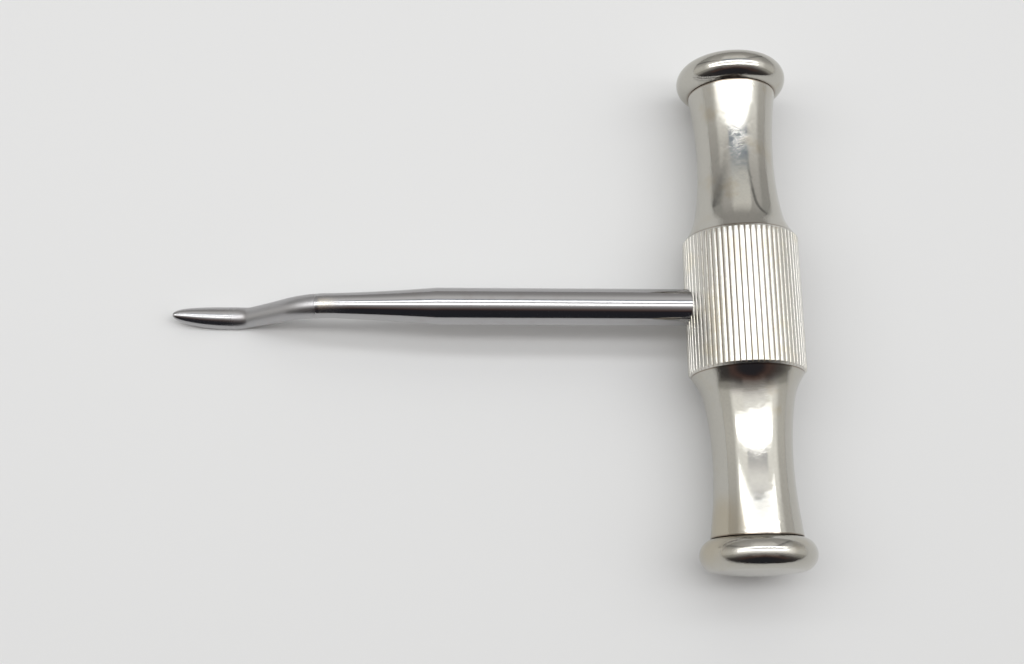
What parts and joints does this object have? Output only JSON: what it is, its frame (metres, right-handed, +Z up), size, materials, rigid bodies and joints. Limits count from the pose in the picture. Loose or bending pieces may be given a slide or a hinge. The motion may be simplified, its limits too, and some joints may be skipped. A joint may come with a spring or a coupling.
{
  "type": "dental elevator",
  "caption": "Crossbar dental elevator: a cranked steel tongue blade on a round shank, pinned through a reeded T handle with waisted arms and bun-shaped end caps.",
  "frame": {"origin": "on the table, straight below the middle of the T handle, with the instrument lying at rest", "axes": "+X from the blade towards the handle, +Y along the handle, +Z up from the table"},
  "size_m": [0.1083, 0.0914, 0.02],
  "materials": {
    "tool_steel": "ground and polished stainless steel with fine lengthwise grinding lines",
    "barrel_plate": "bright plate with a slightly warm tint and tarnish in the grooves",
    "arm_plate": "bright plate with fine pitting and a few faint stains",
    "cap_plate": "bright plate with fine pitting",
    "inner_steel": "plain turned steel, hidden inside the handle"
  },
  "bodies": {
    "root": {"tool": "tool_steel", "barrel": "barrel_plate", "left_arm": "arm_plate", "right_arm": "arm_plate", "left_cap": "cap_plate", "right_cap": "cap_plate", "left_stud": "inner_steel", "right_stud": "inner_steel", "tang_pin": "inner_steel"}
  },
  "joints": []
}
